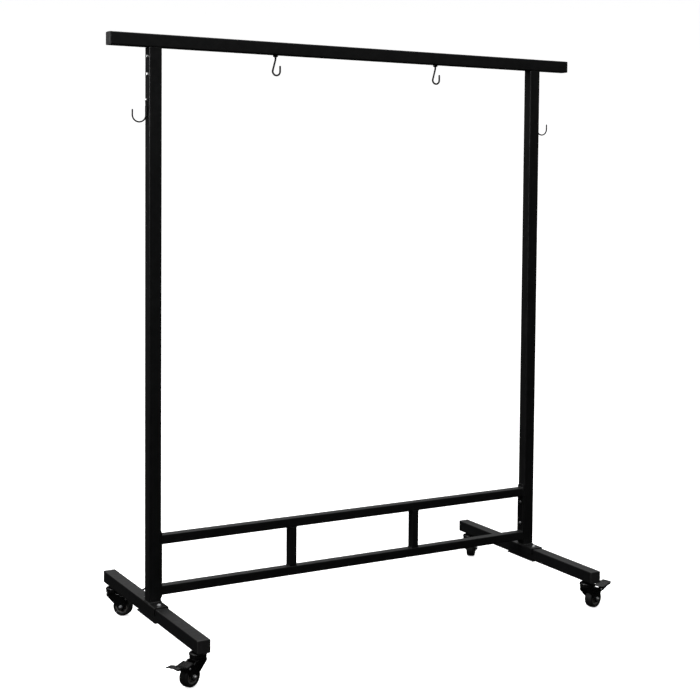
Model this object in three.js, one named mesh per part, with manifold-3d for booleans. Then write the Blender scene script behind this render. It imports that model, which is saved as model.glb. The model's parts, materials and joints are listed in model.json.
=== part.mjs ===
// Rolling gong stand: a square-tube goal-post frame on two legs, with two gong hooks under the beam,
// a mallet hook on each post and four braked swivel casters.
// Millimetres. +X runs along the beam, -Y is the front, +Z is up. The origin is on the floor, in the middle.
import * as THREE from "three";
import { mergeVertices } from "three/addons/utils/BufferGeometryUtils.js";
import Module from "manifold-3d";

const wasm = await Module();
wasm.setup();

// Driving dimensions
const GAP = 0.3; // clearance between touching pieces
const EPS = 1; // how far a cutter runs past the face that it cuts
const WELD = 0.5; // how far two welded pieces run into each other
const SMALL_ROUND = 12; // sides of a bolt, pin or hole
const LARGE_ROUND = 16; // sides of a hub or race
const TYRE_ROUND = 24;
const TUBE = 40; // beam, posts and legs: outer side of the square tube
const TUBE_WALL = 2;
const TUBE_CORNER = 3;
const HEIGHT = 1900;
const BEAM_LENGTH = 1700;
const POST_X = 707; // centre of each post, leg and front-to-back row of casters
const LEG_LENGTH = 840;
const CASTER_HEIGHT = 100; // floor to the underside of a leg

const CAP_FLANGE = 3; // end plug of a tube
const CAP_DEPTH = 20;
const CAP_WALL = 2.5;

const SADDLE_LENGTH = 150; // folded foot plate that is welded under a post and sits over its leg
const SADDLE_PLATE = 3;
const SADDLE_CHEEK = 22; // depth over the leg's side, from the top of the plate
const CLAMP_LENGTH = 164; // flat plate under the leg
const CLAMP_WIDTH = 47;
const CLAMP_CORNER = 3;
const LEG_BOLT_Y = 55;
const BOLT = { shank: 4, head: 7.2, dome: 4.8, socket: 2.6, nut: 7.5, nutHeight: 5, end: 2 };
const SCREW = { shank: 2.5, head: 5, dome: 3, socket: 1.8 };

const SPIGOT_LENGTH = 110; // inner tube that joins a post to the beam
const SPIGOT_WALL = 3;
const POST_BOLT_DROPS = [29, 83]; // below the beam
const POST_BOLT_LENGTH = 14;

const RAIL = 30; // lower frame: outer side of the square tube
const RAIL_WALL = 1.5;
const RAIL_CORNER = 2.5;
const RAIL_TOPS = { lower: 192, upper: 352 };
const STRUT_WIDTH = 25;
const STRUT_X = 232.5;
const END_PLATE = { thick: 3, width: 38, bottom: 152, top: 365, chamfer: 8 };
const RAIL_SCREW_HEIGHTS = [222, 299];

const GONG_HOOK_X = 300;
const GONG_BAR = 3; // radius of the bar that the hook is bent from
const GONG_SHANK = [[0, -2], [0, -14], [-4, -30]]; // [x, z] from the hook's root
const GONG_BEND = 13; // radius of the bend, along the bar's centre
const GONG_BEND_X = 3.5; // the bend's centre, beside and below the hook's root
const GONG_BEND_DROP = 52;
const GONG_TIP_RISE = 19; // straight end above the bend's centre
const GONG_STUD = { radius: 4, length: 14, collar: 8.5, collarHeight: 6, bevel: 1, neck: 4, neckHeight: 3 };

const MALLET_BAR = 2.4;
const MALLET_BEND = 21;
const MALLET_BEND_HEIGHT = 1653; // height of the bend's centre
const MALLET_TIP_RISE = 18;
const MALLET_SHANK = [26, 13]; // heights above the bend's centre
const MALLET_SINK = 1; // how far the bar is pressed into its tongue
const TONGUE = { thick: 3, width: 22, foot: 11, bottom: 1646, top: 1709 };
const MALLET_SCREW_HEIGHT = 1699;

const STEM = { radius: 6, length: 30 };
const INSERT = { radius: 10, bottom: CASTER_HEIGHT + 1, top: CASTER_HEIGHT + 32 }; // threaded, in the leg
const CASTER_INSET = 46; // stem to the leg's end
const TRAIL = 34; // stem to axle, measured flat
const WHEEL = 31.5; // radius
const TYRE_WIDTH = 28;
const TYRE_SHOULDER = [[4, 0], [1, 3], [0, 8]]; // [in from the tread, in from the side]
const HUB = { rim: 21, lip: 18, face: 12.5, web: 5, webEdge: 17, boss: 8.5, bossFoot: 9.1, bossFace: 15.4 };
const AXLE = { radius: 4, tip: 26, nut: 6.6, flat: 3.2, headTop: 4.6, domeTop: 2.6, domeSide: 5.3, dome: 2 };
const RACE = { upper: 26.5, lower: 25, neck: 10, top: 95, split: 85.6, bottom: 76 };
const RACE_EDGE = { crown: 5, bevel: 4, lip: 3 };
const KINGPIN = { radius: 5, head: 8, headHeight: 3 }; // holds the race together
const FORK = { inside: 16, plate: 2.5, axleEye: 11, axleEyeEnd: 349, pivotEye: 6, shoulder: 32 };
const FORK_ROOF = { back: -18, front: 24, bottom: 74, top: 77 };
const FORK_BACK = [[-19, 77], [-17, 68]]; // [forward of the stem, above the floor]
const PEDAL_PIVOT = { x: 54, z: 61, radius: 2, head: 2.4 };
const PEDAL = { half: 22, cheek: 2, eye: 6.5 };
const TREAD_UNDERSIDE = [[36, 70], [68, 72], [84, 86], [102, 87], [106, 93]];
const TREAD_TOP = [[104, 94], [100, 89], [84, 88], [67, 74], [36, 72]];
const CHEEK_FRONT = [[84, 75], [68, 73]];
const CHEEK_BACK = [36, 71];
const PEDAL_TRAVEL = 17; // degrees from released to braking

// Every caster is drawn as it was left standing: its swivel in degrees from +X, and its pedal up or down.
const CASTERS = [
  { name: "front_left", side: -1, end: -1, swivel: 205, pressed: true },
  { name: "rear_left", side: -1, end: 1, swivel: -45, pressed: false },
  { name: "front_right", side: 1, end: -1, swivel: 15, pressed: true },
  { name: "rear_right", side: 1, end: 1, swivel: 47, pressed: false },
];

const SIDES = [["left", -1], ["right", 1]];
const ENDS = [["front", -1], ["rear", 1]];

const LEG_TOP = CASTER_HEIGHT + TUBE;
const BEAM_BOTTOM = HEIGHT - TUBE;
const POST_INNER = POST_X - TUBE / 2;
const POST_OUTER = POST_X + TUBE / 2;
const SADDLE_TOP = LEG_TOP + GAP + SADDLE_PLATE;
const LEFT = -1;

function finish(color, roughness, metalness) {
  return () => new THREE.MeshStandardMaterial({ color, roughness, metalness });
}

const FINISH = {
  powderCoat: finish(0x17181a, 0.5, 0.2),
  blackPlastic: finish(0x1c1c1d, 0.6, 0),
  zinc: finish(0xb9bcc0, 0.3, 1),
  steel: finish(0x8d8f92, 0.4, 1),
  hookCoat: finish(0x0c0c0d, 0.35, 0),
  casterBlack: finish(0x101112, 0.4, 0.3),
  hubPlastic: finish(0xb5b0a6, 0.55, 0),
  tyre: finish(0x161616, 0.7, 0),
};

// Solids

function solid(geometry) {
  const bare = geometry.index ? geometry.toNonIndexed() : geometry.clone();
  bare.deleteAttribute("normal");
  bare.deleteAttribute("uv");
  const merged = mergeVertices(bare, 1e-4);
  const vertProperties = merged.attributes.position.array;
  const triVerts = merged.index.array;
  return new wasm.Manifold(new wasm.Mesh({ numProp: 3, vertProperties, triVerts }));
}

function geometryOf(manifold) {
  const { vertProperties, triVerts } = manifold.getMesh();
  const geometry = new THREE.BufferGeometry();
  geometry.setAttribute("position", new THREE.BufferAttribute(vertProperties, 3));
  geometry.setIndex(new THREE.BufferAttribute(triVerts, 1));
  return geometry;
}

function join(...geometries) {
  return geometryOf(geometries.map(solid).reduce((whole, piece) => whole.add(piece)));
}

function cut(geometry, ...cutters) {
  return geometryOf(cutters.map(solid).reduce((whole, cutter) => whole.subtract(cutter), solid(geometry)));
}

// Flat shapes and the solids made from them

function roundedRectangle(width, height, radius, path = new THREE.Shape()) {
  const x = width / 2 - radius;
  const y = height / 2 - radius;
  path.moveTo(width / 2, -y);
  path.absarc(x, y, radius, 0, Math.PI / 2);
  path.absarc(-x, y, radius, Math.PI / 2, Math.PI);
  path.absarc(-x, -y, radius, Math.PI, 1.5 * Math.PI);
  path.absarc(x, -y, radius, 1.5 * Math.PI, 2 * Math.PI);
  return path;
}

function extrude(shape, depth, curveSegments = 1) {
  return new THREE.ExtrudeGeometry(shape, { depth, bevelEnabled: false, curveSegments });
}

function box(low, high) {
  const size = high.map((value, axis) => value - low[axis]);
  const middle = high.map((value, axis) => (value + low[axis]) / 2);
  return new THREE.BoxGeometry(...size).translate(...middle);
}

// Square tube standing on z = 0, open at both ends.
function tube(width, depth, length, wall, corner) {
  const outline = roundedRectangle(width, depth, corner);
  outline.holes.push(roundedRectangle(width - 2 * wall, depth - 2 * wall, corner / 2, new THREE.Path()));
  return extrude(outline, length);
}

// Turned piece around +Z, from [radius, height] pairs that start and end on the axis.
function turned(profile, segments = SMALL_ROUND) {
  const points = profile.map(([radius, height]) => new THREE.Vector2(radius, height));
  return new THREE.LatheGeometry(points, segments).rotateX(Math.PI / 2);
}

// Ring around +Z, from [radius, height] pairs that run once round its section.
function ring(section, segments = LARGE_ROUND) {
  return turned([...section, section[0]], segments);
}

function rod(radius, low, high) {
  return turned([[0, low], [radius, low], [radius, high], [0, high]]);
}

function barAlong(curve, radius, steps) {
  const section = new THREE.Shape().absarc(0, 0, radius, 0, 2 * Math.PI);
  return new THREE.ExtrudeGeometry(section, { extrudePath: curve, steps, curveSegments: 4 });
}

// Cutter for a bolt hole with a running clearance, along +Z.
function hole(radius, low, high) {
  return rod(radius + GAP, low, high);
}

// Fasteners

// Button-head bolt along +Z: its head stands on z = 0 and its shank runs down.
function buttonBolt({ shank, head, dome, socket }, length) {
  const profile = [
    [0, -length], [shank, -length], [shank, 0], [head, 0],
    [head, dome * 0.3], [head * 0.86, dome * 0.7], [head * 0.55, dome], [0, dome],
  ];
  const socketCutter = new THREE.CylinderGeometry(socket, socket, dome * 1.2, 6).rotateX(Math.PI / 2);
  return cut(turned(profile), socketCutter.translate(0, 0, dome));
}

function hexNut(radius, low, high) {
  return new THREE.CylinderGeometry(radius, radius, high - low, 6)
    .rotateX(Math.PI / 2)
    .translate(0, 0, (low + high) / 2);
}

// Frame

function topBeam() {
  const length = BEAM_LENGTH - 2 * CAP_FLANGE - 2 * GAP;
  const beam = tube(TUBE, TUBE, length, TUBE_WALL, TUBE_CORNER)
    .translate(0, 0, -length / 2)
    .rotateY(Math.PI / 2)
    .translate(0, 0, HEIGHT - TUBE / 2);
  const studHoles = [-1, 1].map((side) =>
    hole(GONG_STUD.radius, BEAM_BOTTOM - EPS, BEAM_BOTTOM + TUBE_WALL + EPS)
      .translate(side * GONG_HOOK_X, 0, 0),
  );
  return cut(beam, ...studHoles);
}

// End plug of a square tube: its flange is centred on the origin and its sleeve runs towards -Z.
function endPlug() {
  const flange = extrude(roundedRectangle(TUBE, TUBE, TUBE_CORNER), CAP_FLANGE);
  const inner = TUBE - 2 * TUBE_WALL - 2 * GAP;
  const sleeve = tube(inner, inner, CAP_DEPTH + WELD, CAP_WALL, TUBE_CORNER / 2).translate(0, 0, -CAP_DEPTH);
  return join(flange, sleeve);
}

function beamSpigot(side) {
  const outer = TUBE - 2 * TUBE_WALL - 2 * GAP;
  const spigot = tube(outer, outer, SPIGOT_LENGTH - GAP, SPIGOT_WALL, TUBE_CORNER / 2)
    .translate(side * POST_X, 0, BEAM_BOTTOM - SPIGOT_LENGTH);
  return cut(spigot, ...POST_BOLT_DROPS.map((drop) => sideHole(side, BOLT.shank, BEAM_BOTTOM - drop)));
}

// Hole through the outer wall of a post, and through the spigot inside it.
function sideHole(side, radius, height) {
  return hole(radius, POST_X, POST_OUTER + EPS).rotateY((side * Math.PI) / 2)
    .translate(0, 0, height);
}

// Post with its folded saddle: a plate over the leg and a cheek down each side of it.
function post(side) {
  const column = tube(TUBE, TUBE, BEAM_BOTTOM - GAP - SADDLE_TOP + WELD, TUBE_WALL, TUBE_CORNER)
    .translate(side * POST_X, 0, SADDLE_TOP - WELD);
  const half = TUBE / 2 + GAP + SADDLE_PLATE;
  const reach = SADDLE_LENGTH / 2;
  const plate = box([-half, -reach, LEG_TOP + GAP], [half, reach, SADDLE_TOP]).translate(side * POST_X, 0, 0);
  const cheeks = [-1, 1].map((edge) => {
    const low = Math.min(edge * half, edge * (half - SADDLE_PLATE));
    return box([low, -reach, SADDLE_TOP - SADDLE_CHEEK], [low + SADDLE_PLATE, reach, SADDLE_TOP])
      .translate(side * POST_X, 0, 0);
  });
  const boltHoles = [-1, 1].map((end) =>
    hole(BOLT.shank, LEG_TOP - EPS, SADDLE_TOP + EPS).translate(side * POST_X, end * LEG_BOLT_Y, 0),
  );
  const sideHoles = POST_BOLT_DROPS.map((drop) => sideHole(side, BOLT.shank, BEAM_BOTTOM - drop));
  const screwHole = sideHole(side, SCREW.shank, MALLET_SCREW_HEIGHT);
  return cut(join(column, plate, ...cheeks), ...boltHoles, ...sideHoles, screwHole);
}

function leg(side) {
  const length = LEG_LENGTH - 2 * CAP_FLANGE - 2 * GAP;
  const bar = tube(TUBE, TUBE, length, TUBE_WALL, TUBE_CORNER)
    .translate(0, 0, -length / 2)
    .rotateX(Math.PI / 2)
    .translate(side * POST_X, 0, CASTER_HEIGHT + TUBE / 2);
  const stemY = LEG_LENGTH / 2 - CASTER_INSET;
  const inserts = [-1, 1].map((end) =>
    rod(INSERT.radius, INSERT.bottom, INSERT.top).translate(side * POST_X, end * stemY, 0),
  );
  const stemHoles = [-1, 1].map((end) =>
    hole(STEM.radius, CASTER_HEIGHT - EPS, INSERT.top + EPS).translate(side * POST_X, end * stemY, 0),
  );
  const boltHoles = [-1, 1].map((end) =>
    hole(BOLT.shank, CASTER_HEIGHT - EPS, LEG_TOP + EPS).translate(side * POST_X, end * LEG_BOLT_Y, 0),
  );
  return cut(join(bar, ...inserts), ...stemHoles, ...boltHoles);
}

function clampPlate(side) {
  const bottom = CASTER_HEIGHT - GAP - SADDLE_PLATE;
  const plate = extrude(roundedRectangle(CLAMP_WIDTH, CLAMP_LENGTH, CLAMP_CORNER), SADDLE_PLATE)
    .translate(side * POST_X, 0, bottom);
  const boltHoles = [-1, 1].map((end) =>
    hole(BOLT.shank, bottom - EPS, CASTER_HEIGHT + EPS).translate(side * POST_X, end * LEG_BOLT_Y, 0),
  );
  return cut(plate, ...boltHoles);
}

// Bolt down through saddle, leg and clamp plate, with its nut tight under the plate.
function legBolt() {
  const nutTop = CASTER_HEIGHT - SADDLE_PLATE - 2 * GAP;
  const nutBottom = nutTop - BOLT.nutHeight;
  const headSeat = SADDLE_TOP + GAP;
  const bolt = buttonBolt(BOLT, headSeat - nutBottom + BOLT.end).translate(0, 0, headSeat);
  return join(bolt, hexNut(BOLT.nut, nutBottom, nutTop));
}

function rail(top) {
  const length = 2 * (POST_INNER - 2 * GAP - END_PLATE.thick);
  return tube(RAIL, RAIL, length, RAIL_WALL, RAIL_CORNER)
    .translate(0, 0, -length / 2)
    .rotateY(Math.PI / 2)
    .translate(0, 0, top - RAIL / 2);
}

function railStrut() {
  const length = RAIL_TOPS.upper - RAIL - RAIL_TOPS.lower - 2 * GAP;
  return tube(STRUT_WIDTH, RAIL, length, RAIL_WALL, RAIL_CORNER).translate(0, 0, RAIL_TOPS.lower + GAP);
}

// Plate that ends the lower frame, with its corners cut off. It stands on the inner face of a post.
function railEndPlate(side) {
  const { thick, width, bottom, top, chamfer } = END_PLATE;
  const half = width / 2;
  const outline = new THREE.Shape();
  outline.moveTo(-half, bottom + chamfer);
  outline.lineTo(-half + chamfer, bottom);
  outline.lineTo(half - chamfer, bottom);
  outline.lineTo(half, bottom + chamfer);
  outline.lineTo(half, top - chamfer);
  outline.lineTo(half - chamfer, top);
  outline.lineTo(-half + chamfer, top);
  outline.lineTo(-half, top - chamfer);
  const plate = extrude(outline, thick)
    .rotateX(Math.PI / 2)
    .rotateZ(Math.PI / 2)
    .translate(side * (POST_INNER - GAP - thick / 2) - thick / 2, 0, 0);
  const screwHoles = RAIL_SCREW_HEIGHTS.map((height) =>
    hole(SCREW.shank, -POST_X, POST_X).rotateY(Math.PI / 2).translate(0, 0, height),
  );
  return cut(plate, ...screwHoles);
}

// Hooks

// Arc in the XZ plane, from one angle to another, in degrees.
function arcPoints(centreX, centreZ, radius, from, to, count) {
  return Array.from({ length: count + 1 }, (_, index) => {
    const angle = THREE.MathUtils.degToRad(from + ((to - from) * index) / count);
    return new THREE.Vector3(centreX + radius * Math.cos(angle), 0, centreZ + radius * Math.sin(angle));
  });
}

// Hook under the beam, drawn from its root at the origin: stud and collar, shank, bend and upturned tip.
function gongHook() {
  const { radius, length, collar, collarHeight, bevel, neck, neckHeight } = GONG_STUD;
  const tipX = GONG_BEND_X + GONG_BEND;
  const path = new THREE.CatmullRomCurve3([
    ...GONG_SHANK.map(([x, z]) => new THREE.Vector3(x, 0, z)),
    ...arcPoints(GONG_BEND_X, -GONG_BEND_DROP, GONG_BEND, 175, 360, 9),
    new THREE.Vector3(tipX, 0, -GONG_BEND_DROP + GONG_TIP_RISE),
  ]);
  const root = turned([
    [0, -collarHeight - neckHeight], [neck, -collarHeight - neckHeight],
    [collar - bevel, -collarHeight], [collar, -collarHeight + bevel],
    [collar, -GAP], [radius, -GAP], [radius, length], [0, length],
  ]);
  return join(barAlong(path, GONG_BAR, 24), root);
}

// J of round bar under a flat tongue, drawn for the right-hand post.
function malletHook() {
  const { thick, width, foot, bottom, top } = TONGUE;
  const outline = new THREE.Shape();
  outline.moveTo(-foot / 2, bottom);
  outline.lineTo(foot / 2, bottom);
  outline.lineTo(width / 2, top - width / 2);
  outline.absarc(0, top - width / 2, width / 2, 0, Math.PI);
  const back = POST_OUTER + GAP;
  const tongue = cut(
    extrude(outline, thick, 4).rotateX(Math.PI / 2).rotateZ(Math.PI / 2).translate(back, 0, 0),
    hole(SCREW.shank, back - EPS, back + thick + EPS)
      .rotateY(Math.PI / 2)
      .translate(0, 0, MALLET_SCREW_HEIGHT),
  );
  const shankX = back + thick + MALLET_BAR - MALLET_SINK;
  const centreX = shankX + MALLET_BEND;
  const path = new THREE.CatmullRomCurve3([
    ...MALLET_SHANK.map((rise) => new THREE.Vector3(shankX, 0, MALLET_BEND_HEIGHT + rise)),
    ...arcPoints(centreX, MALLET_BEND_HEIGHT, MALLET_BEND, 180, 360, 10),
    new THREE.Vector3(centreX + MALLET_BEND, 0, MALLET_BEND_HEIGHT + MALLET_TIP_RISE),
  ]);
  return join(tongue, barAlong(path, MALLET_BAR, 20));
}

// Casters. Each is drawn with its stem on the Z axis and its wheel trailing towards +X.

function casterStem() {
  const { upper, neck, top, split, bottom } = RACE;
  const { crown, bevel, lip } = RACE_EDGE;
  const { radius, head, headHeight } = KINGPIN;
  const headTop = bottom - lip - GAP;
  const headBottom = bottom - lip - headHeight;
  return turned([
    [0, headBottom], [head, headBottom], [head, headTop], [radius, headTop], [radius, split + GAP],
    [upper, split + GAP], [upper, top - bevel], [upper - crown, top], [neck, top],
    [neck, CASTER_HEIGHT - GAP], [STEM.radius, CASTER_HEIGHT - GAP],
    [STEM.radius, CASTER_HEIGHT + STEM.length],
    [0, CASTER_HEIGHT + STEM.length],
  ], LARGE_ROUND);
}

function forkRace() {
  const { lower, split, bottom } = RACE;
  const { crown, lip } = RACE_EDGE;
  const inner = KINGPIN.radius + GAP;
  return ring([
    [inner, bottom - lip], [lower - crown, bottom - lip], [lower, FORK_ROOF.top],
    [lower, split - lip], [lower - lip, split], [inner, split],
  ]);
}

// Side plate of the fork: from the race down to the axle, with an ear for the pedal's pivot.
function forkSide(edge) {
  const { inside, plate, axleEye, axleEyeEnd, pivotEye, shoulder } = FORK;
  const { x, z } = PEDAL_PIVOT;
  const outline = new THREE.Shape();
  FORK_BACK.forEach((point, index) => (index ? outline.lineTo(...point) : outline.moveTo(...point)));
  outline.lineTo(TRAIL - axleEye, WHEEL);
  outline.absarc(TRAIL, WHEEL, axleEye, Math.PI, THREE.MathUtils.degToRad(axleEyeEnd));
  outline.lineTo(x + pivotEye, z);
  outline.absarc(x, z, pivotEye, 0, Math.PI / 2);
  outline.lineTo(shoulder, z + pivotEye);
  outline.lineTo(FORK_ROOF.front, FORK_ROOF.top);
  return extrude(outline, plate, 3)
    .rotateX(Math.PI / 2)
    .translate(0, edge * (inside + plate / 2) + plate / 2, 0);
}

function casterFork() {
  const { inside, plate } = FORK;
  const outer = inside + plate;
  const { back, front, bottom, top } = FORK_ROOF;
  const { x, z, radius, head } = PEDAL_PIVOT;
  const roof = cut(
    box([back, -outer, bottom], [front, outer, top]),
    hole(KINGPIN.radius, bottom - EPS, top + EPS),
  );
  const pin = rod(radius, -outer - head, outer + head).rotateX(Math.PI / 2).translate(x, 0, z);
  const axleHole = hole(AXLE.radius, -outer - EPS, outer + EPS)
    .rotateX(Math.PI / 2)
    .translate(TRAIL, 0, WHEEL);
  return cut(join(forkRace(), roof, forkSide(-1), forkSide(1), pin), axleHole);
}

// Axle with a bolt head on one end and a domed nut on the other.
function casterAxle() {
  const seat = FORK.inside + FORK.plate + GAP;
  const { radius, tip, nut, flat, headTop, domeTop, domeSide, dome } = AXLE;
  return turned([
    [0, -tip], [headTop, -tip], [nut, -seat - flat], [nut, -seat], [radius, -seat], [radius, seat],
    [nut, seat], [nut, seat + flat], [domeSide, tip - dome], [domeTop, tip], [0, tip],
  ]).rotateX(Math.PI / 2).translate(TRAIL, 0, WHEEL);
}

function casterHub() {
  const { rim, lip, face, web, webEdge, boss, bossFoot, bossFace } = HUB;
  const bore = AXLE.radius + GAP;
  const half = [
    [bore, bossFace], [boss, bossFace], [bossFoot, web], [webEdge, web], [lip, face], [rim, face],
  ];
  const mirrored = half.map(([radius, height]) => [radius, -height]).reverse();
  return ring([...half, ...mirrored].reverse()).rotateX(Math.PI / 2).translate(TRAIL, 0, WHEEL);
}

function casterTyre() {
  const inner = HUB.rim + GAP;
  const half = TYRE_WIDTH / 2;
  const upper = [[inner, half], ...TYRE_SHOULDER.map(([drop, inset]) => [WHEEL - drop, half - inset])];
  const lower = upper.map(([radius, height]) => [radius, -height]);
  return ring([...lower, ...upper.reverse()], TYRE_ROUND).rotateX(Math.PI / 2).translate(TRAIL, 0, WHEEL);
}

// Stamped brake pedal: a tread over the wheel with an upturned toe, and a cheek each side on the pivot.
function brakePedal(pressed) {
  const { half, cheek, eye } = PEDAL;
  const { x, z, radius } = PEDAL_PIVOT;
  const section = [...TREAD_UNDERSIDE, ...TREAD_TOP].map((point) => new THREE.Vector2(...point));
  const tread = new THREE.Shape(section);
  const top = extrude(tread, 2 * half).rotateX(Math.PI / 2).translate(0, half, 0);
  const inner = FORK.inside + FORK.plate + GAP;
  const cheeks = [-1, 1].map((edge) => {
    const side = new THREE.Shape();
    side.moveTo(...CHEEK_BACK);
    side.lineTo(x - eye, z);
    side.absarc(x, z, eye, Math.PI, 1.75 * Math.PI);
    CHEEK_FRONT.forEach((point) => side.lineTo(...point));
    return extrude(side, cheek, 2)
      .rotateX(Math.PI / 2)
      .translate(0, edge * (inner + cheek / 2) + cheek / 2, 0);
  });
  const pinHole = hole(radius, -half - EPS, half + EPS).rotateX(Math.PI / 2).translate(x, 0, z);
  const pedal = cut(join(top, ...cheeks), pinHole);
  if (!pressed) return pedal;
  const angle = THREE.MathUtils.degToRad(PEDAL_TRAVEL);
  return pedal.translate(-x, 0, -z).rotateY(angle).translate(x, 0, z);
}

// Assembly

const stand = new THREE.Group();

function place(parent, name, geometry, finishName, x = 0, y = 0, z = 0) {
  const mesh = new THREE.Mesh(geometry, FINISH[finishName]());
  mesh.name = name;
  mesh.position.set(x, y, z);
  parent.add(mesh);
  return mesh;
}

function placeBeam() {
  place(stand, "top_beam", topBeam(), "powderCoat");
  for (const [word, side] of SIDES) {
    const plug = endPlug().rotateY((side * Math.PI) / 2);
    const x = side * (BEAM_LENGTH / 2 - CAP_FLANGE);
    place(stand, `beam_end_plug_${word}`, plug, "blackPlastic", x, 0, HEIGHT - TUBE / 2);
    place(stand, `beam_spigot_${word}`, beamSpigot(side), "steel");
    place(stand, `gong_hook_${word}`, gongHook(), "hookCoat", side * GONG_HOOK_X, 0, BEAM_BOTTOM);
  }
}

function placePost(word, side) {
  place(stand, `post_${word}`, post(side), "powderCoat");
  const outward = (side * Math.PI) / 2;
  POST_BOLT_DROPS.forEach((drop, index) => {
    const bolt = buttonBolt(BOLT, POST_BOLT_LENGTH).rotateY(outward);
    const name = `post_bolt_${word}_${index ? "lower" : "upper"}`;
    place(stand, name, bolt, "zinc", side * (POST_OUTER + GAP), 0, BEAM_BOTTOM - drop);
  });
  const hook = malletHook();
  if (side === LEFT) hook.rotateZ(Math.PI);
  place(stand, `mallet_hook_${word}`, hook, "hookCoat");
  const screw = buttonBolt(SCREW, TONGUE.thick + 9).rotateY(outward);
  const screwX = side * (POST_OUTER + 2 * GAP + TONGUE.thick);
  place(stand, `mallet_hook_screw_${word}`, screw, "zinc", screwX, 0, MALLET_SCREW_HEIGHT);
}

function placeLeg(word, side) {
  place(stand, `leg_${word}`, leg(side), "powderCoat");
  place(stand, `clamp_plate_${word}`, clampPlate(side), "powderCoat");
  const x = side * POST_X;
  for (const [endWord, end] of ENDS) {
    const plug = endPlug().rotateX((-end * Math.PI) / 2);
    const y = end * (LEG_LENGTH / 2 - CAP_FLANGE);
    place(stand, `leg_end_plug_${endWord}_${word}`, plug, "blackPlastic", x, y, CASTER_HEIGHT + TUBE / 2);
    place(stand, `leg_bolt_${endWord}_${word}`, legBolt(), "zinc", x, end * LEG_BOLT_Y, 0);
  }
}

function placeLowerFrame() {
  place(stand, "upper_rail", rail(RAIL_TOPS.upper), "powderCoat");
  place(stand, "lower_rail", rail(RAIL_TOPS.lower), "powderCoat");
  for (const [word, side] of SIDES) {
    place(stand, `rail_strut_${word}`, railStrut(), "powderCoat", side * STRUT_X, 0, 0);
    place(stand, `rail_end_plate_${word}`, railEndPlate(side), "powderCoat");
  }
}

function placeCaster({ name, side, end, swivel, pressed }) {
  const caster = new THREE.Group();
  caster.position.set(side * POST_X, end * (LEG_LENGTH / 2 - CASTER_INSET), 0);
  caster.rotation.z = THREE.MathUtils.degToRad(swivel);
  stand.add(caster);
  place(caster, `caster_stem_${name}`, casterStem(), "casterBlack");
  place(caster, `caster_fork_${name}`, casterFork(), "casterBlack");
  place(caster, `caster_axle_${name}`, casterAxle(), "zinc");
  place(caster, `caster_hub_${name}`, casterHub(), "hubPlastic");
  place(caster, `caster_tyre_${name}`, casterTyre(), "tyre");
  place(caster, `caster_pedal_${name}`, brakePedal(pressed), "casterBlack");
}

placeBeam();
placeLowerFrame();
for (const [word, side] of SIDES) {
  placePost(word, side);
  placeLeg(word, side);
}
CASTERS.forEach(placeCaster);

export default stand;
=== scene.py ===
import json
import math

import bmesh
import bpy
from mathutils import Matrix, Vector

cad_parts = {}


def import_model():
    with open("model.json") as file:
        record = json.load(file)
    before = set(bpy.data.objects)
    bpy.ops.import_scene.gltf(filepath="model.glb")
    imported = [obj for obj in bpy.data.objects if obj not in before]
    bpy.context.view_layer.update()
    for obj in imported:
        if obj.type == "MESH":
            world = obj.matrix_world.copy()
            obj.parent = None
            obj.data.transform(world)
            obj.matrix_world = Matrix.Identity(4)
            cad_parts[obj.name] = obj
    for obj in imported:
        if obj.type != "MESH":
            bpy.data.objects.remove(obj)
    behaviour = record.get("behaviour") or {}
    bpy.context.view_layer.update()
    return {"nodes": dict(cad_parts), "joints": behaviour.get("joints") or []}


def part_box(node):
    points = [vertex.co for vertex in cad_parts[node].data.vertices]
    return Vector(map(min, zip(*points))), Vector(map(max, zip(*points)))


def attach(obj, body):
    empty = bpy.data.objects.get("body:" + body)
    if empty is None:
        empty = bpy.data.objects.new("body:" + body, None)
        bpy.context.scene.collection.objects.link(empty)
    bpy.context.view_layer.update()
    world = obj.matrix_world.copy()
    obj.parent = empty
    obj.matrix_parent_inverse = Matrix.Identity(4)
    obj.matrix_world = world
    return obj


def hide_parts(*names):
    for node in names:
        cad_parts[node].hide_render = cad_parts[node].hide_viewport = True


# Rolling gong stand. Shapes are drawn in millimetres, in the row frame, and scaled to metres by piece().
MM = 0.001
SIDES = (("left", -1), ("right", 1))
ENDS = (("front", -1), ("rear", 1))
CASTERS = ("front_left", "rear_left", "front_right", "rear_right")
PRESSED = ("front_left", "front_right")

TUBE = 40
TUBE_WALL = 2
TUBE_CORNER = 3
RAIL_WALL = 1.5
RAIL_CORNER = 2.5
CAP_FLANGE = 3
SADDLE_CHEEK = 22
SADDLE_PLATE = 3
LEG_BOLT_Y = 55
LEG_BOLT_HOLE = 4.5
POST_BOLT_HOLE = 4.3
SCREW_HOLE = 2.8
END_PLATE_CHAMFER = 8
RAIL_SCREW_HEIGHTS = (222, 299)
PEDAL_TRAVEL = 17
GONG_BAR = 3
GONG_BEND = 13
GONG_BEND_X = 3.5
GONG_BEND_DROP = 52
GONG_TIP_RISE = 19
MALLET_BAR = 2.4
MALLET_TIP_RISE = 18
TONGUE_BOTTOM = 1646

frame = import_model()
JOINTS = {joint["name"]: joint for joint in frame["joints"]}


def span(node):
    """Lowest and highest corner of a CAD node, in millimetres."""
    low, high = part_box(node)
    return low / MM, high / MM


# Materials


def ramp(tree, source, low, high):
    """Colour that goes from low to high with a value."""
    node = tree.nodes.new("ShaderNodeValToRGB")
    node.color_ramp.elements[0].position = 0.3
    node.color_ramp.elements[1].position = 0.7
    node.color_ramp.elements[0].color = (*low, 1)
    node.color_ramp.elements[1].color = (*high, 1)
    tree.links.new(source, node.inputs["Fac"])
    return node.outputs["Color"]


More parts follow.
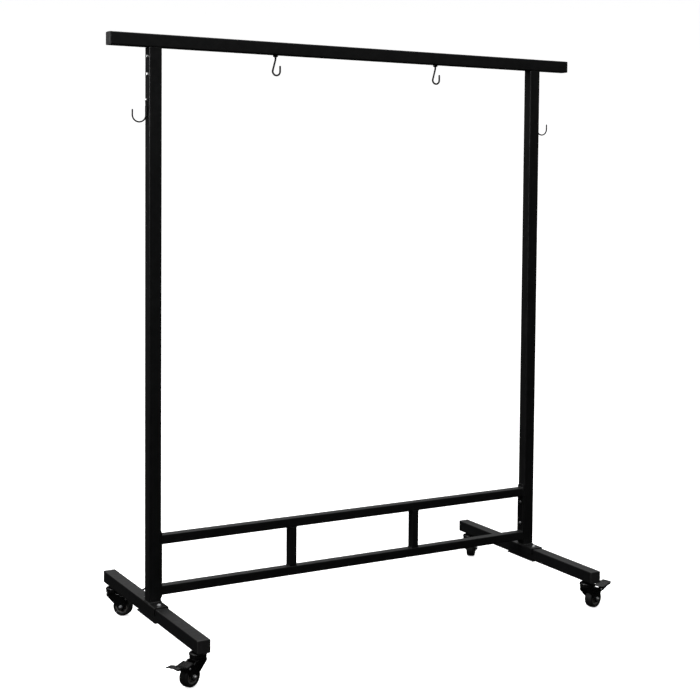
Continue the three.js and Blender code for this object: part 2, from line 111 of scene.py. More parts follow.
def scaled(tree, source, low, high):
    """Number that goes from low to high with a value."""
    node = tree.nodes.new("ShaderNodeMapRange")
    node.inputs["From Min"].default_value = 0.3
    node.inputs["From Max"].default_value = 0.7
    node.inputs["To Min"].default_value = low
    node.inputs["To Max"].default_value = high
    tree.links.new(source, node.inputs["Value"])
    return node.outputs["Result"]


def noise(tree, place, scale, detail=3, stretch=(1, 1, 1)):
    """Noise of that many cycles a metre. stretch above 1 makes it finer along an axis."""
    mapping = tree.nodes.new("ShaderNodeMapping")
    mapping.inputs["Scale"].default_value = stretch
    node = tree.nodes.new("ShaderNodeTexNoise")
    node.inputs["Scale"].default_value = scale
    node.inputs["Detail"].default_value = detail
    tree.links.new(place, mapping.inputs["Vector"])
    tree.links.new(mapping.outputs["Vector"], node.inputs["Vector"])
    return node.outputs["Fac"]


def bump(tree, height, distance, strength, below=None):
    node = tree.nodes.new("ShaderNodeBump")
    node.inputs["Distance"].default_value = distance
    node.inputs["Strength"].default_value = strength
    tree.links.new(height, node.inputs["Height"])
    if below is not None:
        tree.links.new(below, node.inputs["Normal"])
    return node.outputs["Normal"]


def finish(name, low, high, rough, grain, depth, stretch=(1, 1, 1), cloud=9, **fixed):
    """Surface whose colour and roughness wander over it, with a fine grain in its normal.

    low and high are the two colours, rough the two roughnesses, grain the grain's cycles a metre and depth
    its height in metres. fixed are the shader's own values."""
    material = bpy.data.materials.new(name)
    material.use_nodes = True
    tree = material.node_tree
    shader = tree.nodes["Principled BSDF"]
    for socket, value in fixed.items():
        shader.inputs[socket.replace("_", " ")].default_value = value
    place = tree.nodes.new("ShaderNodeTexCoord").outputs["Object"]
    clouds = noise(tree, place, cloud, 6)
    fine = noise(tree, place, grain, 2, stretch)
    smears = noise(tree, place, cloud * 5, 4, stretch)
    tree.links.new(ramp(tree, clouds, low, high), shader.inputs["Base Color"])
    tree.links.new(scaled(tree, smears, *rough), shader.inputs["Roughness"])
    coarse = bump(tree, smears, depth * 2, 0.25)
    tree.links.new(bump(tree, fine, depth, 0.6, coarse), shader.inputs["Normal"])
    return material


POWDER = finish("powder_coat", (0.0035, 0.0036, 0.0038), (0.0055, 0.0056, 0.0058), (0.34, 0.44), 900, 0.00008,
                Specular_IOR_Level=0.36)
CAP = finish("moulded_cap", (0.010, 0.010, 0.0105), (0.015, 0.015, 0.0155), (0.48, 0.6), 2600, 0.00003)
INNER_STEEL = finish("drawn_steel", (0.22, 0.22, 0.225), (0.32, 0.32, 0.325), (0.3, 0.5), 700, 0.00002,
                     (1, 1, 0.03), Metallic=1)
ZINC = finish("bright_zinc", (0.34, 0.35, 0.36), (0.46, 0.46, 0.46), (0.28, 0.42), 1500, 0.00001,
              (4, 4, 1), 60, Metallic=1)
HOOK_COAT = finish("dipped_hook", (0.003, 0.003, 0.0032), (0.005, 0.005, 0.0053), (0.3, 0.42), 500, 0.00005,
                   Specular_IOR_Level=0.3)
CASTER_BLACK = finish("caster_enamel", (0.002, 0.002, 0.0022), (0.004, 0.004, 0.0042), (0.2, 0.34), 420,
                      0.00002, (1, 1, 1), 40, Specular_IOR_Level=0.2, Coat_Weight=0.1, Coat_Roughness=0.12)
HUB_PLASTIC = finish("hub_nylon", (0.10, 0.095, 0.09), (0.14, 0.135, 0.125), (0.42, 0.55), 1800, 0.00003,
                     (1, 1, 1), 40, Subsurface_Weight=0.05)
RUBBER = finish("tyre_rubber", (0.004, 0.004, 0.004), (0.009, 0.009, 0.0085), (0.5, 0.72), 1300, 0.00006,
                (1, 1, 1), 50, Specular_IOR_Level=0.35)


# Meshes


def rounded(width, depth, radius, steps=5):
    """Anticlockwise outline of a rounded rectangle. A radius of half its width makes it a circle."""
    outline = []
    for quarter, (x, y) in enumerate(((1, 1), (-1, 1), (-1, -1), (1, -1))):
        for step in range(steps + 1):
            angle = math.radians(90 * (quarter + step / steps))
            outline.append((
                x * (width / 2 - radius) + radius * math.cos(angle),
                y * (depth / 2 - radius) + radius * math.sin(angle),
            ))
    return outline


def circle(radius, sides):
    return polar(lambda angle: radius, sides)


def polar(reach, sides):
    """Outline whose distance from the middle is reach(angle)."""
    angles = [2 * math.pi * side / sides for side in range(sides)]
    return [(reach(angle) * math.cos(angle), reach(angle) * math.sin(angle)) for angle in angles]


def hexagon(flat, angle):
    """Distance from the middle of a hexagon to its side; flat is half the width across its flats."""
    return flat / math.cos((angle + math.pi / 6) % (math.pi / 3) - math.pi / 6)


def level(outline, height):
    """Outline as a ring of points at a height."""
    return [Vector((x, y, height)) for x, y in outline]


def skin(bm, rings, at=Matrix(), closed=False, loop=True):
    """Faces between rings of the same number of points. closed joins the last ring to the first, and
    otherwise the ends are capped. Without loop, each ring is an open row and nothing is capped."""
    rows = [[bm.verts.new(at @ Vector(point)) for point in ring] for ring in rings]
    following = rows[1:] + rows[:1] if closed else rows[1:]
    for row, after in zip(rows, following):
        count = len(row) if loop else len(row) - 1
        for index in range(count):
            beside = (index + 1) % len(row)
            bm.faces.new((row[index], row[beside], after[beside], after[index]))
    if loop and not closed:
        bm.faces.new(rows[0][::-1])
        bm.faces.new(rows[-1])


def turned(bm, profile, at=Matrix(), sides=32, closed=False):
    """Turned shape round +Z, from (radius, height) pairs."""
    skin(bm, [level(circle(max(radius, 0.001), sides), height) for radius, height in profile], at, closed)


def square_turned(bm, profile, at=Matrix(), closed=False):
    """The same with rounded squares, from (width, corner, height)."""
    skin(bm, [level(rounded(width, width, corner), height) for width, corner, height in profile], at, closed)


def tube(bm, width, depth, length, wall, corner, at=Matrix(), edge=0.35):
    """Rounded tube on z = 0 with its ends deburred."""
    def ring(inset, height):
        radius = max(corner - inset, 0.7)
        return level(rounded(width - 2 * inset, depth - 2 * inset, radius), height)
    skin(bm, [
        ring(edge, 0), ring(0, edge), ring(0, length - edge), ring(edge, length),
        ring(wall - edge, length), ring(wall, length - edge), ring(wall, edge), ring(wall - edge, 0),
    ], at, closed=True)


def prism(bm, outline, thick, at=Matrix()):
    """Flat outline made thick along +Z."""
    skin(bm, [level(outline, 0), level(outline, thick)], at)


def spline(points, steps=8):
    """Smooth line through points."""
    line = []
    padded = [2 * points[0] - points[1], *points, 2 * points[-1] - points[-2]]
    for a, b, c, d in zip(padded, padded[1:], padded[2:], padded[3:]):
        for step in range(steps):
            t = step / steps
            line.append(0.5 * (2 * b + (c - a) * t + (2 * a - 5 * b + 4 * c - d) * t ** 2
                               + (3 * b - a - 3 * c + d) * t ** 3))
    return [*line, points[-1]]


def arc(centre, radius, start, end, count):
    """Points on an arc in the XZ plane, in degrees."""
    angles = [math.radians(start + (end - start) * step / count) for step in range(count + 1)]
    return [Vector((centre[0] + radius * math.cos(a), 0, centre[1] + radius * math.sin(a))) for a in angles]


def sweep(bm, path, radius, at=Matrix(), sides=16, closed=False, swell=None):
    """Round bar along a path, with rounded ends. swell(index) scales its radius."""
    count = len(path)
    tangents = []
    for index in range(count):
        before = path[index - 1] if closed or index else path[0]
        after = path[(index + 1) % count] if closed or index < count - 1 else path[-1]
        tangents.append((after - before).normalized())
    across = tangents[0].orthogonal().normalized()
    stations = []
    for index, (point, tangent) in enumerate(zip(path, tangents)):
        across = (across - tangent * across.dot(tangent)).normalized()
        girth = radius * (swell(index) if swell else 1)
        stations.append((point, across.copy(), tangent.cross(across), girth))
    if not closed:
        dome = [math.radians(angle) for angle in (20, 40, 60, 75, 90)]
        point, first, second, size = stations[0]
        head = [(point - tangents[0] * size * math.sin(a), first, second, size * math.cos(a)) for a in dome]
        point, first, second, size = stations[-1]
        tail = [(point + tangents[-1] * size * math.sin(a), first, second, size * math.cos(a)) for a in dome]
        stations = [*head[::-1], *stations, *tail]
    rings = []
    for point, first, second, size in stations:
        rings.append([point + (first * x + second * y) * max(size, 0.002) for x, y in circle(1, sides)])
    skin(bm, rings, at, closed)


def bead(bm, corners, radius, at=Matrix(), closed=True):
    """Weld bead along a line, with the ripples that it froze in."""
    pitch, samples = 2.4, 4
    line = [Vector(corner) for corner in corners]
    if closed:
        line.append(line[0])
    path = [line[0]]
    step = pitch / samples
    left = step
    for a, b in zip(line, line[1:]):
        run = (b - a).length
        while left < run:
            path.append(a.lerp(b, left / run))
            left += step
        left -= run
    if closed and (path[-1] - path[0]).length < step / 2:
        path.pop()

    def swell(index):
        ripple = 0.1 * math.sin(2 * math.pi * index / samples)
        return 1 + ripple + 0.06 * math.sin(index * 0.37) + 0.04 * math.sin(index * 0.11 + 1)
    sweep(bm, path, radius, at, 10, closed, swell)


def clean(bm):
    bmesh.ops.remove_doubles(bm, verts=bm.verts, dist=0.003)
    bmesh.ops.dissolve_degenerate(bm, edges=bm.edges, dist=0.0005)
    bmesh.ops.recalc_face_normals(bm, faces=bm.faces)


def carved(bm, cutter, bevel=0.0, thick=0.0):
    """bm made thick if it is a sheet, with cutter taken out and its sharp edges rounded."""
    clean(bm)
    clean(cutter)
    objects = []
    for part in (bm, cutter):
        mesh = bpy.data.meshes.new("carving")
        part.to_mesh(mesh)
        part.free()
        objects.append(bpy.data.objects.new("carving", mesh))
        bpy.context.scene.collection.objects.link(objects[-1])
    body, tool = objects
    if thick:
        sheet = body.modifiers.new("thick", "SOLIDIFY")
        sheet.thickness = thick
        sheet.offset = 0
        sheet.use_quality_normals = True
    if tool.data.vertices:
        boolean = body.modifiers.new("cut", "BOOLEAN")
        boolean.object = tool
        boolean.solver = "EXACT"
    if bevel:
        soften(body, bevel)
    depsgraph = bpy.context.evaluated_depsgraph_get()
    result = bmesh.new()
    result.from_mesh(body.evaluated_get(depsgraph).to_mesh())
    for item in objects:
        mesh = item.data
        bpy.data.objects.remove(item)
        bpy.data.meshes.remove(mesh)
    return result


def soften(item, width, segments=2):
    modifier = item.modifiers.new("soften", "BEVEL")
    modifier.width = width
    modifier.segments = segments
    modifier.limit_method = "ANGLE"
    modifier.angle_limit = math.radians(48)
    modifier.use_clamp_overlap = True


def piece(name, bm, material, body="root", stands_for=(), sharp=42):
    """The gathered faces become a piece of the object."""
    clean(bm)
    mesh = bpy.data.meshes.new(name)
    bm.to_mesh(mesh)
    bm.free()
    mesh.transform(Matrix.Scale(MM, 4))
    mesh.materials.append(material)
    mesh.shade_smooth()
    mesh.set_sharp_from_angle(angle=math.radians(sharp))
    item = bpy.data.objects.new(name, mesh)
    bpy.context.scene.collection.objects.link(item)
    normals = item.modifiers.new("even", "WEIGHTED_NORMAL")
    normals.keep_sharp = True
    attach(item, body)
    if stands_for:
        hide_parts(*stands_for)
    return item


def shift(x=0.0, y=0.0, z=0.0):
    return Matrix.Translation((x, y, z))


def turn(degrees, axis):
    return Matrix.Rotation(math.radians(degrees), 4, axis)


def cutters(*parts):
    """Several cutters as one mesh."""
    bm = bmesh.new()
    for radius, low, high, at in parts:
        turned(bm, [(0, low), (radius, low), (radius, high), (0, high)], at, 32)
    return bm


# Fasteners: each stands on z = 0 with its head up and its shank down.


def thread(bm, radius, low, high, pitch, at=Matrix(), sides=24, depth=0.5):
    """Screw thread between two heights, as a rod whose surface winds up round it."""
    steps = max(2, round((high - low) / pitch * 6))
    rings = []
    for step in range(steps + 1):
        height = low + (high - low) * step / steps
        taper = min(1.0, (height - low) / pitch, (high - height) / pitch)

        def reach(angle, height=height, taper=taper):
            phase = (height / pitch - angle / (2 * math.pi)) % 1
            return radius - depth * (1 - taper * (1 - abs(2 * phase - 1)))
        rings.append(level(polar(reach, sides), height))
    skin(bm, rings, at)


def washer(bm, inner, outer, thick, at=Matrix()):
    edge = 0.2
    turned(bm, [
        (inner, 0), (outer - edge, 0), (outer, edge), (outer, thick - edge),
        (outer - edge, thick), (inner, thick),
    ], at, 36, closed=True)


def button_head(bm, shank, head, dome, socket, length, at=Matrix(), seat=0.0):
    """Button-head socket bolt. seat lifts its head off z = 0, onto a washer."""
    sides = 36
    rings = [level(circle(radius, sides), height) for radius, height in (
        (shank * 0.75, -length), (shank, -length + shank * 0.3), (shank, seat), (head - 0.25, seat),
        (head, seat + 0.3), (head, seat + dome * 0.22), (head * 0.96, seat + dome * 0.42),
        (head * 0.86, seat + dome * 0.66), (head * 0.72, seat + dome * 0.84),
        (head * 0.58, seat + dome * 0.95),
        (socket * 1.3, seat + dome),
    )]
    for reach, height in ((1.12, 1.0), (1.0, 0.9), (1.0, 0.3)):
        rings.append(level(polar(lambda angle: hexagon(socket * reach, angle), sides), seat + dome * height))
    rings.append(level(circle(socket * 0.3, sides), seat + dome * 0.18))
    skin(bm, rings, at)


def hex_nut(bm, flat, bore, height, at=Matrix()):
    """Hexagonal nut with its corners chamfered top and bottom."""
    sides = 48
    slope = 1.6
    levels = [0, 0.25, 0.5, 0.8]
    heights = [*levels, *[height - step for step in reversed(levels)]]
    rings = []
    for z in heights:
        limit = flat * 0.98 + slope * min(z, height - z)
        rings.append(level(polar(lambda angle: min(hexagon(flat, angle), limit), sides), z))
    rings.append(level(circle(bore + 0.5, sides), height))
    rings.append(level(circle(bore, sides), height - 0.5))
    rings.append(level(circle(bore, sides), 0.5))
    rings.append(level(circle(bore + 0.5, sides), 0))
    skin(bm, rings, at, closed=True)


# Frame


def end_cap(name, node, at):
    """Moulded plug: a crowned flange with its gate mark, and a finned sleeve."""
    fins = []
    for top in (-3, -8, -13):
        fins += [(33, 1, top), (35.4, 1.4, top - 0.6), (35.4, 1.4, top - 1.6), (33, 1, top - 2.2)]
    bm = bmesh.new()
    square_turned(bm, [
        (4.6, 2.3, 2.6), (5.6, 2.8, 2.95), (35, 2.0, 3.0), (37.6, 2.5, 2.88), (39.2, 2.85, 2.45),
        (39.9, 3, 1.7),
        (40, 3, 1.2), (40, 3, 0.3), (39.4, 2.7, 0), (33, 1, 0), *fins, (32.6, 1, -18),
        (31, 1, -20), (28.5, 1, -20),
        (28, 1, -19.5), (28, 1, 0.6),
    ], at)
    piece(name, bm, CAP, stands_for=[node])


def beam():
    low, high = span("top_beam")
    middle = (low.z + high.z) / 2
    bm = bmesh.new()
    tube(bm, TUBE, TUBE, high.x - low.x, TUBE_WALL, TUBE_CORNER, shift(low.x, 0, middle) @ turn(90, "Y"))
    holes = [(4.3, low.z - 2, low.z + 4, shift(gong_root(side))) for side, _ in SIDES]
    piece("beam_tube", carved(bm, cutters(*holes)), POWDER, stands_for=["top_beam"])
    for side, sign in SIDES:
        node = f"beam_end_plug_{side}"
        low, high = span(node)
        face = high.x if sign > 0 else low.x
        end_cap(f"beam_cap_{side}", node, shift(face - sign * CAP_FLANGE, 0, middle) @ turn(90 * sign, "Y"))
        frame["nodes"][f"beam_spigot_{side}"].data.materials.clear()
        frame["nodes"][f"beam_spigot_{side}"].data.materials.append(INNER_STEEL)


def gong_root(side):
    """Where a gong hook's stud enters the beam, along the beam."""
    low, _ = span(f"gong_hook_{side}")
    return low.x + GONG_BEND + GONG_BAR - GONG_BEND_X


def post(side, sign):
    """Square post, the folded foot that it is welded to, and the weld."""
    node = f"post_{side}"
    low, high = span(node)
    x = (low.x + high.x) / 2
    foot = low.z + SADDLE_CHEEK
    column = bmesh.new()
    tube(column, TUBE, TUBE, high.z - foot, TUBE_WALL, TUBE_CORNER, shift(x, 0, foot))
    wall = sign * (TUBE / 2 - TUBE_WALL)
    holes = []
    fasteners = (("post_bolt_{}_upper", POST_BOLT_HOLE), ("post_bolt_{}_lower", POST_BOLT_HOLE),
                 ("mallet_hook_screw_{}", SCREW_HOLE))
    for name, radius in fasteners:
        bolt_low, bolt_high = span(name.format(side))
        height = (bolt_low.z + bolt_high.z) / 2
        holes.append((radius, -3, 5, shift(x + wall, 0, height) @ turn(90 * sign, "Y")))
    for height in RAIL_SCREW_HEIGHTS:
        holes.append((SCREW_HOLE, -3, 5, shift(x - wall, 0, height) @ turn(-90 * sign, "Y")))
    piece(f"post_column_{side}", carved(column, cutters(*holes)), POWDER, stands_for=[node])

    half = (high.x - low.x) / 2
    length = high.y - low.y
    outer, inner = 3.3, 0.8
    outline = [(-half, low.z), *corner(-half + outer, foot - outer, outer, 180, 90),
               *corner(half - outer, foot - outer, outer, 90, 0), (half, low.z), (half - SADDLE_PLATE, low.z),
               *corner(half - SADDLE_PLATE - inner, foot - SADDLE_PLATE - inner, inner, 0, 90),
               *corner(-half + SADDLE_PLATE + inner, foot - SADDLE_PLATE - inner, inner, 90, 180),
               (-half + SADDLE_PLATE, low.z)]
    saddle = bmesh.new()
    prism(saddle, outline, length, shift(x, length / 2, 0) @ turn(90, "X"))
    holes = [(LEG_BOLT_HOLE, foot - 8, foot + 3, shift(x, end * LEG_BOLT_Y)) for _, end in ENDS]
    piece(f"post_foot_{side}", carved(saddle, cutters(*holes), 0.5), POWDER, sharp=60)

    weld = bmesh.new()
    bead(weld, level(rounded(TUBE + 1, TUBE + 1, 3.4), foot + 0.5), 2.1, shift(x))
    piece(f"post_weld_{side}", weld, POWDER, sharp=80)


def corner(x, y, radius, start, end, count=5):
    angles = [math.radians(start + (end - start) * step / count) for step in range(count + 1)]
    return [(x + radius * math.cos(angle), y + radius * math.sin(angle)) for angle in angles]


def leg(side):
    """Leg tube with the two threaded inserts that hold the casters."""
    node = f"leg_{side}"
    low, high = span(node)
    x = (low.x + high.x) / 2
    middle = (low.z + high.z) / 2
    bm = bmesh.new()
    tube(bm, TUBE, TUBE, high.y - low.y, TUBE_WALL, TUBE_CORNER, shift(x, high.y, middle) @ turn(90, "X"))
    holes = []
    stems = [JOINTS[f"swivel_{end}_{side}"]["pos_m"][1] / MM for end, _ in ENDS]
    for _, end in ENDS:
        holes.append((4.5, low.z - 2, high.z + 2, shift(x, end * LEG_BOLT_Y)))
    for y in stems:
        holes.append((6.4, low.z - 2, low.z + 4, shift(x, y)))
    bm = carved(bm, cutters(*holes))
    for y in stems:
        turned(bm, [(6.6, 2.2), (10, 2.2), (10, 30), (9, 31), (6.6, 31)], shift(x, y, low.z), 32, closed=True)
    piece(f"leg_tube_{side}", bm, POWDER, stands_for=[node])

    for word, end in ENDS:
        cap = f"leg_end_plug_{word}_{side}"
        cap_low, cap_high = span(cap)
        face = cap_high.y if end > 0 else cap_low.y
        cap_at = shift(x, face - end * CAP_FLANGE, middle) @ turn(-90 * end, "X")
        end_cap(f"leg_cap_{word}_{side}", cap, cap_at)
        bolt(word, side)

    node = f"clamp_plate_{side}"
    low, high = span(node)
    plate = bmesh.new()
    prism(plate, rounded(high.x - low.x, high.y - low.y, 3), high.z - low.z, shift(x, 0, low.z))
    holes = [(4.5, low.z - 2, high.z + 2, shift(x, end * LEG_BOLT_Y)) for _, end in ENDS]
    piece(f"clamp_plate_{side}_pressed", carved(plate, cutters(*holes), 0.5), POWDER,
          stands_for=[node], sharp=60)


def bolt(word, side):
    """Bolt through foot, leg and clamp plate, with a washer under its head, and its nut."""
    node = f"leg_bolt_{word}_{side}"
    low, high = span(node)
    at = shift((low.x + high.x) / 2, (low.y + high.y) / 2)
    seat = span(f"post_{side}")[0].z + SADDLE_CHEEK
    bm = bmesh.new()
    washer(bm, 4.2, 8, 1.1, at @ shift(z=seat))
    nut_top = span(f"clamp_plate_{side}")[0].z - 0.1
    button_head(bm, 3.6, 6.9, 4.4, 2.5, seat - nut_top + 1, at @ shift(z=seat), 1.1)
    thread(bm, 4, low.z, nut_top + 3, 1.25, at)
    hex_nut(bm, 6.5, 4.1, 5.2, at @ shift(z=nut_top - 5.2))
    piece(f"leg_screw_{word}_{side}", bm, ZINC, stands_for=[node], sharp=30)


def side_bolts(side, sign):
    for place in ("upper", "lower"):
        node = f"post_bolt_{side}_{place}"
        low, high = span(node)
        face = span(f"leg_{side}")[1 if sign > 0 else 0].x
        at = shift(face, 0, (low.z + high.z) / 2) @ turn(90 * sign, "Y")
        bm = bmesh.new()
        washer(bm, 4.2, 7.8, 1, at)
        button_head(bm, 3.9, 6.9, 4.1, 2.5, 14, at, 1)
        piece(f"post_screw_{side}_{place}", bm, ZINC, stands_for=[node], sharp=30)
    node = f"mallet_hook_screw_{side}"
    low, high = span(node)
    face = low.x + 3 if sign < 0 else high.x - 3
    bm = bmesh.new()
    button_head(bm, 2.4, 5, 3, 1.7, 12, shift(face, 0, (low.z + high.z) / 2) @ turn(90 * sign, "Y"))
    piece(f"mallet_screw_{side}", bm, ZINC, stands_for=[node], sharp=30)


def lower_frame():
    """Two rails, two struts between them and two end plates, welded together and screwed to the posts."""
    for name in ("upper_rail", "lower_rail"):
        low, high = span(name)
        bm = bmesh.new()
        width = high.z - low.z
        tube(bm, width, width, high.x - low.x, RAIL_WALL, RAIL_CORNER,
             shift(low.x, 0, (low.z + high.z) / 2) @ turn(90, "Y"))
        piece(f"{name}_tube", bm, POWDER, stands_for=[name])
        weld = bmesh.new()
        for sign in (-1, 1):
            path = level(rounded(width + 0.6, width + 0.6, RAIL_CORNER + 0.3), 0)
            end = high.x if sign > 0 else low.x
            bead(weld, path, 1.7, shift(end - sign * 0.5, 0, (low.z + high.z) / 2) @ turn(90, "Y"))
        for side, _ in SIDES:
            strut_low, strut_high = span(f"rail_strut_{side}")
            face = low.z if name == "upper_rail" else high.z
            for x in (strut_low.x - 0.3, strut_high.x + 0.3):
                half = width / 2 - RAIL_CORNER + 0.5
                bead(weld, [(x, -half, face), (x, half, face)], 1.7, closed=False)
        piece(f"{name}_welds", weld, POWDER, sharp=80)
    for side, sign in SIDES:
        node = f"rail_strut_{side}"
        low, high = span(node)
        bm = bmesh.new()
        tube(bm, high.x - low.x, high.y - low.y, high.z - low.z, RAIL_WALL, RAIL_CORNER,
             shift((low.x + high.x) / 2, 0, low.z))
        piece(f"strut_tube_{side}", bm, POWDER, stands_for=[node])
        end_plate(side, sign)


def end_plate(side, sign):
    node = f"rail_end_plate_{side}"
    low, high = span(node)
    thick = high.x - low.x
    half = high.y
    outline = []
    corners = ((half, low.z, True), (half, high.z, False), (-half, high.z, True), (-half, low.z, False))
    for y, z, flat_first in corners:
        toward = 1 if z == low.z else -1
        inward = -1 if y > 0 else 1
        cut = [(y + inward * END_PLATE_CHAMFER, z), (y, z + toward * END_PLATE_CHAMFER)]
        outline += cut if flat_first else cut[::-1]
    bm = bmesh.new()
    prism(bm, outline, thick, shift(low.x) @ turn(90, "Z") @ turn(90, "X"))
    inner = low.x if sign > 0 else high.x
    at = [shift(inner, 0, height) @ turn(-90 * sign, "Y") for height in RAIL_SCREW_HEIGHTS]
    bm = carved(bm, cutters(*[(SCREW_HOLE, -thick - 2, 2, place) for place in at]), 0.5)
    piece(f"end_plate_{side}", bm, POWDER, stands_for=[node], sharp=60)
    screws = bmesh.new()
    for place in at:
        washer(screws, 2.7, 5.8, 0.8, place)
        button_head(screws, 2.4, 4.9, 2.8, 1.7, 14, place, 0.8)
    piece(f"end_plate_screws_{side}", screws, ZINC, sharp=30)


# Hooks


def gong_hook(side):
    """Hook of round bar under the beam, with its locknut and threaded stud."""
    node = f"gong_hook_{side}"
    root = shift(gong_root(side), 0, span("top_beam")[0].z)
    drop = Vector((0, 0, -GONG_BEND_DROP))
    line = [Vector((0, 0, -3)), Vector((0, 0, -14)), Vector((-4, 0, -30))]
    line += arc((GONG_BEND_X, drop.z), GONG_BEND, 175, 360, 9)
    line.append(Vector((GONG_BEND_X + GONG_BEND, 0, drop.z + GONG_TIP_RISE - GONG_BAR)))
    bm = bmesh.new()
    sweep(bm, spline(line, 6), GONG_BAR, root, 20)
    washer(bm, 4.1, 8.4, 1.2, root @ shift(z=-1.5))
    hex_nut(bm, 7, 4, 4.6, root @ shift(z=-6.1))
    thread(bm, 4, -8.5, 14, 1.25, root)
    piece(f"gong_hook_{side}_bar", bm, HOOK_COAT, stands_for=[node], sharp=35)


def mallet_hook(side, sign):
    """J of round bar welded to a flat tongue."""
    node = f"mallet_hook_{side}"
    low, high = span(node)
    thick = 3
    back = low.x if sign > 0 else -high.x
    way = turn(0 if sign > 0 else 180, "Z")
    foot, half = 5.5, high.y
    outline = [(-foot, TONGUE_BOTTOM), (foot, TONGUE_BOTTOM), (half, high.z - half),
               *corner(0, high.z - half, half, 0, 180, 16)[1:-1], (-half, high.z - half)]
    screw_low, screw_high = span(f"mallet_hook_screw_{side}")
    tongue = bmesh.new()
    prism(tongue, outline, thick, way @ shift(back) @ turn(90, "Z") @ turn(90, "X"))
    screw_at = way @ shift(back, 0, (screw_low.z + screw_high.z) / 2) @ turn(90, "Y")
    bm = carved(tongue, cutters((2.8, -2, thick + 2, screw_at)), 0.6)
    reach = high.x - back if sign > 0 else -low.x - back
    bend = (reach - thick - MALLET_BAR + 1 - MALLET_BAR) / 2
    shank = back + thick + MALLET_BAR - 1
    height = low.z + MALLET_BAR + bend
    line = [Vector((shank, 0, height + 27)), Vector((shank, 0, height + 13))]
    line += arc((shank + bend, height), bend, 180, 360, 10)
    line.append(Vector((shank + 2 * bend, 0, height + MALLET_TIP_RISE - MALLET_BAR)))
    sweep(bm, spline(line, 6), MALLET_BAR, way, 20)
    for y in (-MALLET_BAR, MALLET_BAR):
        weld = [(back + thick, y, TONGUE_BOTTOM + 5), (back + thick, y, height + 24)]
        bead(bm, weld, 0.9, way, closed=False)
    piece(f"mallet_hook_{side}_bar", bm, HOOK_COAT, stands_for=[node], sharp=35)


# Casters: drawn with the stem on Z and the wheel trailing towards +X.


def sheet(bm, rows):
    """Open sheet from rows of points."""
    skin(bm, rows, loop=False)


def caster(name):
    swivel = Vector(JOINTS[f"swivel_{name}"]["pos_m"]) / MM
    axle = Vector(JOINTS[f"roll_{name}"]["pos_m"]) / MM
    pivot = Vector(JOINTS[f"brake_{name}"]["pos_m"]) / MM
    across = JOINTS[f"roll_{name}"]["axis"]
    angle = math.degrees(math.atan2(-across[0], across[1]))
    place = shift(swivel.x, swivel.y) @ turn(angle, "Z")
    trail = math.hypot(axle.x - swivel.x, axle.y - swivel.y)
    pin = math.hypot(pivot.x - swivel.x, pivot.y - swivel.y)
    wheel_at = place @ shift(trail, 0, axle.z) @ turn(90, "X")
    leg_bottom = span("leg_left")[0].z
    caster_head(name, place, leg_bottom)
    caster_fork(name, place, trail, axle.z, pin, pivot.z)
    caster_wheel(name, wheel_at, axle.z)
    caster_axle(name, wheel_at)
    tilt = turn(PEDAL_TRAVEL if name in PRESSED else 0, "Y")
    caster_pedal(name, place @ shift(pin, 0, pivot.z) @ tilt)
    caster_spring(name, place @ shift(pin, 0, pivot.z))


def caster_head(name, place, top):
    """Threaded stem, its hexagon, the upper race and the riveted end below the fork."""
    bm = bmesh.new()
    turned(bm, [
        (0, 69.8), (6, 69.8), (7.6, 70.6), (8, 71.6), (7.8, 72.7), (4.8, 72.8), (4.8, 87.4), (22.2, 87.4),
        (24.2, 86.6), (26.2, 86.6), (26.5, 87.2), (26.4, 89.6), (25.6, 91.6), (23.8, 93.0), (21, 93.7),
        (17, 94),
        (14.5, 94.4), (13.5, 95), (0, 95),
    ], place, 64)
    hex_nut(bm, 9.4, 5.5, 4.4, place @ shift(z=94.9))
    thread(bm, 6, 95, top + 30, 1.75, place, 32, 0.8)
    piece(f"caster_head_{name}", bm, CASTER_BLACK,
          stands_for=[f"caster_stem_{name}"], sharp=32)


def fork_edges(z, trail, axle, pin, pivot):
    """Front and rear edge of the fork's side plate at a height."""
    eye = 11
    if z < axle:
        reach = math.sqrt(max(0.0, eye ** 2 - (z - axle) ** 2))
        front = trail - reach
    else:
        share = min(1.0, (z - axle) / (68 - axle))
        front = trail - eye + (-18 - trail + eye) * (share ** 0.9)
    if z < axle - 2:
        rear = trail + math.sqrt(max(0.0, eye ** 2 - (z - axle) ** 2))
    elif z < pivot:
        share = (z - axle + 2) / (pivot - axle + 2)
        rear = trail + eye - 0.2 + (pin + 6 - trail - eye + 0.2) * share
    elif z < pivot + 6:
        rear = pin + math.sqrt(max(0.0, 36 - (z - pivot) ** 2))
    else:
        rear = 34 - (z - pivot - 6) * 0.9
    return front, rear


